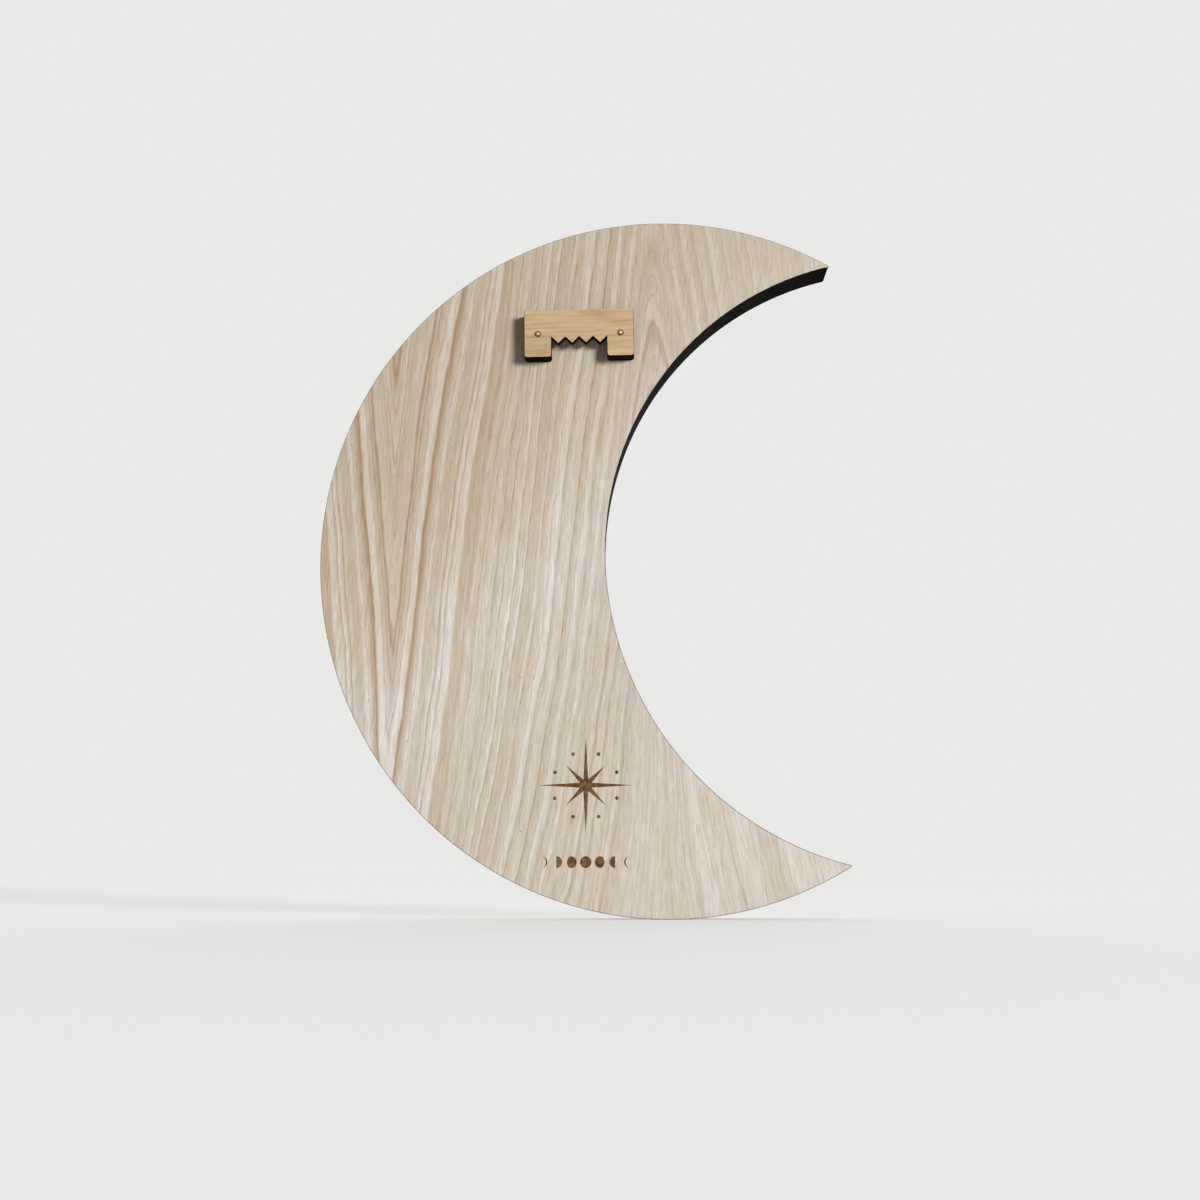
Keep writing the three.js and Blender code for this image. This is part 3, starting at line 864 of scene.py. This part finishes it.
def hanger_tree():
    tree, given = new_tree("hanger_layer", {
        "Row Steps": "Int", "Window Width": "Float", "Row Height": "Float", "Row Radius": "Float",
        "Tip Depth": "Float", "Tip Radius": "Float", "Tab Width": "Float", "Tab Drop": "Float",
        "Tab Radius": "Float", "Bar Height": "Float", "Bar Radius": "Float"})
    last = add(tree, "ShaderNodeMath", [given["Row Steps"], 2.0 * END_CORNERS], operation="ADD")
    count = add(tree, "ShaderNodeMath", [last, 1.0], operation="ADD")
    line = add(tree, "GeometryNodeResampleCurve", {
        "Curve": add(tree, "GeometryNodeCurvePrimitiveLine"), "Count": count}, mode="COUNT")

    # A corner's number, its number from the nearer end, and its step from the middle. The
    # halves in the tests stand between two whole numbers.
    number = add(tree, "GeometryNodeInputIndex")
    from_right = add(tree, "ShaderNodeMath", [last, number], operation="SUBTRACT")
    nearer = add(tree, "ShaderNodeMath", [number, from_right], operation="MINIMUM")
    steps = add(tree, "ShaderNodeMath", [last, -0.5, number], operation="MULTIPLY_ADD")
    side = add(tree, "ShaderNodeMath", [steps], operation="SIGN")
    is_row = add(tree, "ShaderNodeMath", [nearer, END_CORNERS - 0.5], operation="GREATER_THAN")
    is_outer = add(tree, "ShaderNodeMath", [nearer, 1.5], operation="LESS_THAN")
    is_top = add(tree, "ShaderNodeMath", [nearer, 0.5], operation="LESS_THAN")
    is_tip = add(tree, "ShaderNodeMath", [nearer, END_CORNERS], operation="SUBTRACT")
    is_tip = add(tree, "ShaderNodeMath", [is_tip, 2.0], operation="FLOORED_MODULO")

    half_window = add(tree, "ShaderNodeMath", [given["Window Width"], 0.5], operation="MULTIPLY")
    across = add(tree, "ShaderNodeMath", [is_outer, given["Tab Width"], half_window],
                 operation="MULTIPLY_ADD")
    corner_x = add(tree, "ShaderNodeMath", [across, side], operation="MULTIPLY")
    step = add(tree, "ShaderNodeMath", [given["Window Width"], given["Row Steps"]], operation="DIVIDE")
    row_x = add(tree, "ShaderNodeMath", [steps, step], operation="MULTIPLY")
    foot = add(tree, "ShaderNodeMath", [given["Tab Drop"], -1.0], operation="MULTIPLY")
    corner_y = add(tree, "GeometryNodeSwitch", [is_top, foot, given["Bar Height"]], input_type="FLOAT")
    tip_drop = add(tree, "ShaderNodeMath", [is_tip, given["Tip Depth"]], operation="MULTIPLY")
    row_y = add(tree, "ShaderNodeMath", [given["Row Height"], tip_drop], operation="SUBTRACT")
    corner_radius = add(tree, "GeometryNodeSwitch", [is_top, given["Tab Radius"], given["Bar Radius"]],
                        input_type="FLOAT")
    row_radius = add(tree, "GeometryNodeSwitch", [is_tip, given["Row Radius"], given["Tip Radius"]],
                     input_type="FLOAT")
    x, y, radius = [
        add(tree, "GeometryNodeSwitch", [is_row, at_corner, in_row], input_type="FLOAT")
        for at_corner, in_row in ((corner_x, row_x), (corner_y, row_y), (corner_radius, row_radius))]

    spot = add(tree, "ShaderNodeCombineXYZ", [x, y])
    placed = add(tree, "GeometryNodeSetPosition", {"Geometry": line, "Position": spot})
    closed = add(tree, "GeometryNodeSetSplineCyclic", {"Geometry": placed, "Cyclic": True})
    rounded = add(tree, "GeometryNodeFilletCurve", {
        "Curve": closed, "Count": CORNER_STEPS, "Radius": radius, "Limit Radius": True}, mode="POLY")
    return cut_from_sheet(tree, given, rounded)


layer_tree = hanger_tree()
print("tree", layer_tree.name, "with", len(layer_tree.nodes), "nodes")

# %% Make the hanger's two layers


def hanger_layer(name, node, row):
    near, far = layer(node)
    return grow(name, layer_tree, row | {
        "Window Width": WINDOW_WIDTH * MM, "Tab Width": TAB_WIDTH * MM, "Tab Drop": TAB_DROP * MM,
        "Tab Radius": TAB_CORNER_RADIUS * MM, "Bar Height": BAR_HEIGHT * MM,
        "Bar Radius": BAR_CORNER_RADIUS * MM, "Tilt": math.radians(-HANGER_TILT),
        "Centre": (0.0, far * MM, 0.0), "Thickness": (far - near) * MM,
        "Face": hanger_plywood, "Edge": hanger_scorch})


toothed = hanger_layer("toothed_hanger_plate", "sawtooth_hanger", {
    "Row Steps": 2 * TOOTH_COUNT, "Tip Depth": TOOTH_DEPTH * MM, "Tip Radius": TOOTH_TIP_RADIUS * MM,
    "Soften Near": 1.0})
spacer = hanger_layer("hanger_spacer_layer", "hanger_spacer", {
    "Row Steps": 1, "Row Height": HEAD_ROOM * MM, "Row Radius": WINDOW_CORNER_RADIUS * MM})
for piece in (toothed, spacer):
    print(piece.name, len(piece.data.polygons), "faces,", volume_of(piece), "cubic cm")

# %% [markdown]
# ## The pins and their holes
#
# A panel pin is turned: a low dome, a flat underside, a thin shank and a point. So is
# the drill that bores its hole. Both are one profile spun about the pin's axis, which
# is the simplest way to a round piece with a clean closed surface.

# %% Turn a profile about a pin's axis
TURN_STEPS = 40


def turned(name, profile, places, finish):
    """Spins a profile of (radius, depth) in mm about the Y axis, once at each place."""
    solid = bmesh.new()
    for place in places:
        rows = [solid.verts.new(place + Vector((radius, depth, 0)) * MM) for radius, depth in profile]
        edges = [solid.edges.new(pair) for pair in zip(rows, rows[1:])]
        bmesh.ops.spin(solid, geom=rows + edges, cent=place, axis=(0, 1, 0), angle=math.tau,
                       steps=TURN_STEPS, use_merge=True)
    bmesh.ops.remove_doubles(solid, verts=solid.verts, dist=WELD * MM)
    bmesh.ops.recalc_face_normals(solid, faces=solid.faces)
    mesh = bpy.data.meshes.new(name)
    solid.to_mesh(mesh)
    solid.free()
    mesh.materials.append(finish)
    mesh.shade_smooth()
    mesh.set_sharp_from_angle(angle=SHARP_ANGLE)
    piece = bpy.data.objects.new(name, mesh)
    bpy.context.scene.collection.objects.link(piece)
    return piece


# %% Make the pins
DOME_STEPS = 10

hanger_turn = Matrix.Rotation(math.radians(-HANGER_TILT), 3, "Y")
pin_top, pin_tip = layer("hanger_pin_left")
pin_places = [hanger_turn @ Vector((x, 0, PIN_ABOVE_NOTCHES)) * MM for x in (-PIN_X, PIN_X)]
quarter_turns = [math.pi / 2 * i / DOME_STEPS for i in range(DOME_STEPS + 1)]
dome = [(PIN_HEAD_RADIUS * math.sin(turn), pin_top * math.cos(turn)) for turn in quarter_turns]
shank = [(PIN_SHANK_RADIUS, 0.0), (PIN_SHANK_RADIUS, pin_tip - PIN_POINT_LENGTH), (0.0, pin_tip)]
pins = [
    turned(f"brass_pin_{side}", dome + shank, [place], pin_plating)
    for side, place in zip(("left", "right"), pin_places)]
print("pins at", [[round(v / MM, 2) for v in place] for place in pin_places], "mm")
print("each pin", volume_of(pins[0]), "cubic cm")

# %% [markdown]
# ## Bore the holes
#
# The drills are cut out of the hanger's layers, the back veneer and the core with a
# Boolean modifier, and the wall of each hole is as scorched as the other cuts.

# %% Bore the holes
DRILL_LEAD = 1.0  # how far in front of a pin's head a drill starts


def cut(piece, tool, **settings):
    """Takes a tool's volume out of a piece."""
    boolean = piece.modifiers.new("cut", "BOOLEAN")
    boolean.operation = "DIFFERENCE"
    boolean.solver = "EXACT"
    boolean.object = tool
    for name, value in settings.items():
        setattr(boolean, name, value)
    return keep_mesh(piece)


start = pin_top - DRILL_LEAD
end = pin_tip + PIN_HOLE_END
drill = [(0.0, start), (PIN_HOLE_RADIUS, start), (PIN_HOLE_RADIUS, end), (0.0, end)]
drills = turned("drills", drill, pin_places, edge_scorch)
for piece in (toothed, spacer, back_face, core):
    cut(piece, drills, material_mode="TRANSFER")
    print(piece.name, "bored,", volume_of(piece), "cubic cm")
bpy.data.objects.remove(drills)

# %% [markdown]
# ## The engraving
#
# A maker burns a mark into the plain back, low on the moon. Here it is a plain star
# with four long and four short rays and a dot between every two, and under it the
# phases of the moon in a row. Both follow rules. A star is a circle of points whose
# distance from the middle changes from point to point. A phase is a circle with one
# side pressed in: the edge of the moon's shadow is an ellipse as wide as the cosine of
# the phase's turn. The shapes are raised to a thin block and cut into the veneer.

# %% A tree that draws the star
STAR_RAYS = 8
STAR_LONG = 19.5
STAR_SHORT = 11.5
STAR_WAIST = 2.6
DOT_RADIUS = 0.75
DOT_REACH = 13.6
DOT_STEPS = 16


def star_tree():
    tree, given = new_tree("engraved_star", {
        "Rays": "Int", "Long": "Float", "Short": "Float", "Waist": "Float",
        "Dot Radius": "Float", "Dot Reach": "Float"})
    count = add(tree, "ShaderNodeMath", [given["Rays"], 2.0], operation="MULTIPLY")
    ring = add(tree, "GeometryNodeCurvePrimitiveCircle", {"Resolution": count, "Radius": 1.0})
    # Every second point is a waist, and of the others every second ends a long ray.
    number = add(tree, "GeometryNodeInputIndex")
    half = add(tree, "ShaderNodeMath", [number, 2.0], operation="FLOORED_MODULO")
    ray = add(tree, "ShaderNodeMath", [number, 4.0], operation="FLOORED_MODULO")
    is_long = add(tree, "ShaderNodeMath", [ray, 0.5], operation="LESS_THAN")
    is_waist = add(tree, "ShaderNodeMath", [half, 0.5], operation="GREATER_THAN")
    length = add(tree, "GeometryNodeSwitch", [is_long, given["Short"], given["Long"]], input_type="FLOAT")
    reach = add(tree, "GeometryNodeSwitch", [is_waist, length, given["Waist"]], input_type="FLOAT")
    on_ring = add(tree, "GeometryNodeInputPosition")
    spot = add(tree, "ShaderNodeVectorMath", {0: on_ring, "Scale": reach}, operation="SCALE")
    star = add(tree, "GeometryNodeSetPosition", {"Geometry": ring, "Position": spot})

    # The dots stand between the rays, half a step round from them.
    dot_ring = add(tree, "GeometryNodeCurvePrimitiveCircle", {
        "Resolution": given["Rays"], "Radius": given["Dot Reach"]})
    step = add(tree, "ShaderNodeMath", [math.pi, given["Rays"]], operation="DIVIDE")
    turned_ring = add(tree, "GeometryNodeTransform", {
        "Geometry": dot_ring, "Rotation": add(tree, "ShaderNodeCombineXYZ", {"Z": step})})
    dot = add(tree, "GeometryNodeCurvePrimitiveCircle", {
        "Resolution": DOT_STEPS, "Radius": given["Dot Radius"]})
    dots = add(tree, "GeometryNodeInstanceOnPoints", {"Points": turned_ring, "Instance": dot})
    real = add(tree, "GeometryNodeRealizeInstances", {"Geometry": dots})
    outlines = add(tree, "GeometryNodeJoinGeometry", [[star, real]])
    return cut_from_sheet(tree, given, outlines)


star_shape = star_tree()
print("tree", star_shape.name, "with", len(star_shape.nodes), "nodes")

# %% A tree that draws the phases
PHASE_COUNT = 7
PHASE_PITCH = 5.9
PHASE_RADIUS = 2.3
PHASE_TURN = math.radians(45)
PHASE_STEPS = 48
ALMOST_NOTHING = 0.00001  # keeps the two points on a moon's axis out of its lit side


def phases_tree():
    tree, given = new_tree("engraved_phases", {
        "Count": "Int", "Pitch": "Float", "Radius": "Float", "Turn": "Float"})
    row = add(tree, "GeometryNodePoints", {"Count": given["Count"]})
    # A phase's number is counted from the full moon in the middle.
    middle = add(tree, "ShaderNodeMath", [given["Count"], 0.5, -0.5], operation="MULTIPLY_ADD")
    index = add(tree, "GeometryNodeInputIndex")
    number = add(tree, "ShaderNodeMath", [index, middle], operation="SUBTRACT")
    x = add(tree, "ShaderNodeMath", [number, given["Pitch"]], operation="MULTIPLY")
    in_row = add(tree, "ShaderNodeCombineXYZ", [x])
    spread = add(tree, "GeometryNodeSetPosition", {"Geometry": row, "Position": in_row})
    numbered = add(tree, "GeometryNodeStoreNamedAttribute", {
        "Geometry": spread, "Name": "phase", "Value": number}, data_type="FLOAT", domain="POINT")
    disc = add(tree, "GeometryNodeCurvePrimitiveCircle", {
        "Resolution": PHASE_STEPS, "Radius": given["Radius"]})
    local = add(tree, "ShaderNodeSeparateXYZ", [add(tree, "GeometryNodeInputPosition")]).outputs["X"]
    disc = add(tree, "GeometryNodeStoreNamedAttribute", {
        "Geometry": disc, "Name": "from_middle", "Value": local}, data_type="FLOAT", domain="POINT")
    discs = add(tree, "GeometryNodeInstanceOnPoints", {"Points": numbered, "Instance": disc})
    real = add(tree, "GeometryNodeRealizeInstances", {"Geometry": discs})

    # The dark side is drawn in to the shadow's edge, and past the middle for a thin moon.
    phase = add(tree, "GeometryNodeInputNamedAttribute", {"Name": "phase"}, data_type="FLOAT")
    offset = add(tree, "GeometryNodeInputNamedAttribute", {"Name": "from_middle"}, data_type="FLOAT")
    turn = add(tree, "ShaderNodeMath", [phase, given["Turn"]], operation="MULTIPLY")
    shadow = add(tree, "ShaderNodeMath", [turn], operation="COSINE")
    lit_side = add(tree, "ShaderNodeMath", [offset, phase], operation="MULTIPLY")
    is_lit = add(tree, "ShaderNodeMath", [lit_side, -ALMOST_NOTHING * MM], operation="LESS_THAN")
    share = add(tree, "GeometryNodeSwitch", [is_lit, shadow, 1.0], input_type="FLOAT")
    drawn = add(tree, "ShaderNodeMath", [offset, share], operation="MULTIPLY")
    shift = add(tree, "ShaderNodeMath", [drawn, offset], operation="SUBTRACT")
    move = add(tree, "ShaderNodeCombineXYZ", [shift])
    pressed = add(tree, "GeometryNodeSetPosition", {"Geometry": real, "Offset": move})
    return cut_from_sheet(tree, given, pressed)


phases_shape = phases_tree()
print("tree", phases_shape.name, "with", len(phases_shape.nodes), "nodes")

# %% Engrave the back veneer
ENGRAVED_DEPTH = 0.15
TOOL_OVERLAP = 0.5  # how far the block stands out of the veneer, so that it cuts cleanly
MARK_X = -33.3  # from the disc's centre
STAR_Z = -96.9
PHASES_Z = -127.5

block_depth = (back_depth + ENGRAVED_DEPTH) * MM
block_thickness = (ENGRAVED_DEPTH + TOOL_OVERLAP) * MM
star = grow("star_block", star_shape, {
    "Rays": STAR_RAYS, "Long": STAR_LONG * MM, "Short": STAR_SHORT * MM, "Waist": STAR_WAIST * MM,
    "Dot Radius": DOT_RADIUS * MM, "Dot Reach": DOT_REACH * MM,
    "Centre": ((DISC_X + MARK_X) * MM, block_depth, (DISC_Z + STAR_Z) * MM),
    "Thickness": block_thickness, "Face": engraved_brown, "Edge": engraved_brown})
phases = grow("phases_block", phases_shape, {
    "Count": PHASE_COUNT, "Pitch": PHASE_PITCH * MM, "Radius": PHASE_RADIUS * MM, "Turn": PHASE_TURN,
    "Centre": ((DISC_X + MARK_X) * MM, block_depth, (DISC_Z + PHASES_Z) * MM),
    "Thickness": block_thickness, "Face": engraved_brown, "Edge": engraved_brown})
for tool in (star, phases):
    print(tool.name, volume_of(tool), "cubic cm")
    cut(back_face, tool, material_mode="TRANSFER")
    bpy.data.objects.remove(tool)
print(back_face.name, "engraved,", volume_of(back_face), "cubic cm,", len(back_face.data.polygons), "faces")

# %% [markdown]
# ## Put the pieces in their places
#
# Nothing on the panel moves, so every piece rides on the one body. Each piece stands for
# the solid that it dresses, which is hidden.

# %% Dress the frame
for piece, node, slot in (
    (back_face, "back_veneer", "oak_veneer"),
    (core, "board_core", "scorched_core"),
    (front_face, "front_veneer", "oak_veneer"),
    (toothed, "sawtooth_hanger", "hanger_wood"),
    (spacer, "hanger_spacer", "hanger_wood"),
    (pins[0], "hanger_pin_left", "pin_brass"),
    (pins[1], "hanger_pin_right", "pin_brass"),
):
    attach(piece, "root")
    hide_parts(node)
    low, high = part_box(node)
    reach = [Vector(corner) for corner in piece.bound_box]
    dressed_low = Vector([min(corner[i] for corner in reach) for i in range(3)])
    dressed_high = Vector([max(corner[i] for corner in reach) for i in range(3)])
    off = max((dressed_low - low).length, (dressed_high - high).length)
    print(node, "dressed, off its solid by", round(off / MM, 3), "mm")
